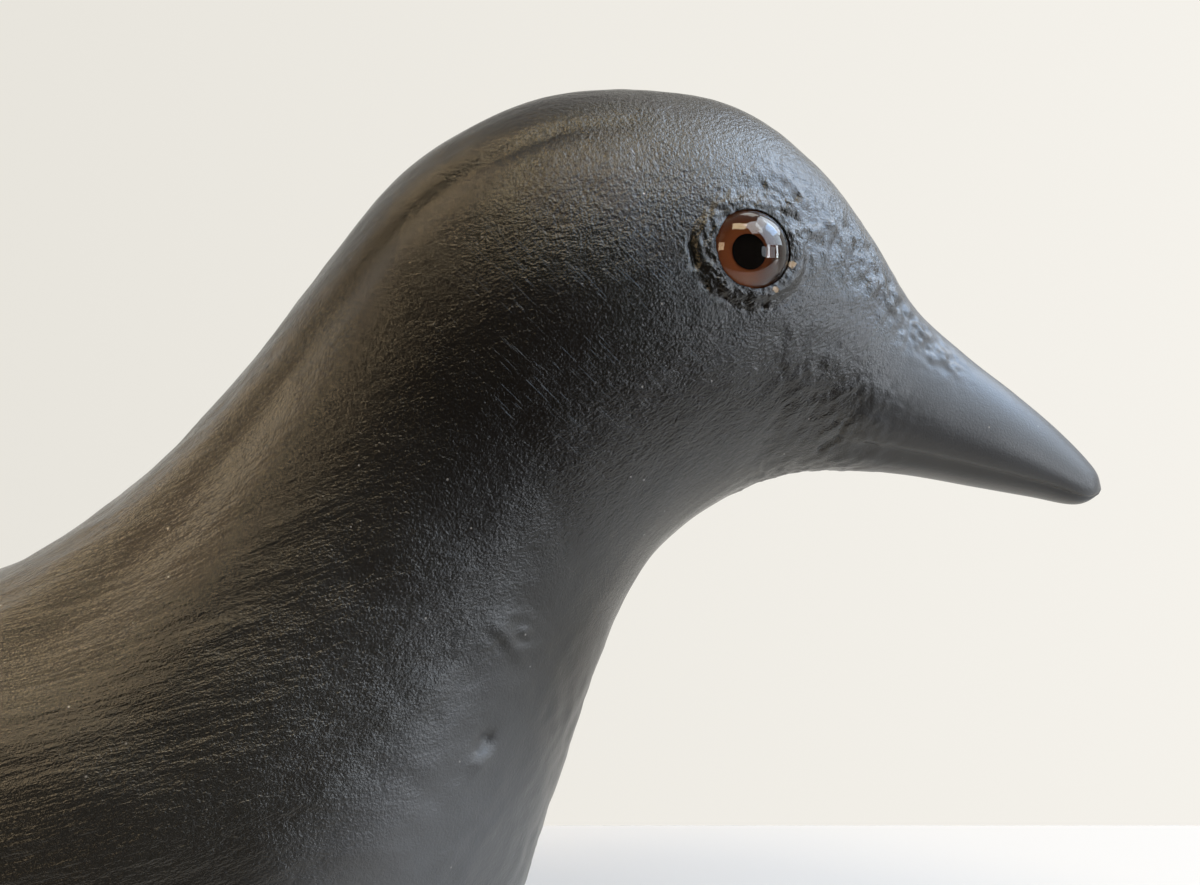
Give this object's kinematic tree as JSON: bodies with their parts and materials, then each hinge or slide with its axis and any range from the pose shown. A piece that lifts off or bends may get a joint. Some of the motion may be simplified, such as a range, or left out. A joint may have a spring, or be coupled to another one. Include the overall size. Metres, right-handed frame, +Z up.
{
  "type": "carved wooden crow",
  "caption": "Carved wooden crow, life size: a black painted bust of head, neck and shoulders with domed brown glass eyes, cut flat below to stand.",
  "frame": {"origin": "on the flat underside, below the middle of the whole length from the cut back to the bill tip", "axes": "+X runs forward towards the bill tip, +Y to the bird's left, +Z up"},
  "size_m": [0.1992, 0.0918, 0.1271],
  "materials": {
    "black_paint": "solid carved wood, brushed with satin black paint over a fine fibrous filler",
    "eye_glass": "polished clear glass over a reddish brown iris and a black pupil"
  },
  "bodies": {
    "root": {"crow": "black_paint", "eye_left": "eye_glass", "eye_right": "eye_glass"}
  },
  "joints": []
}
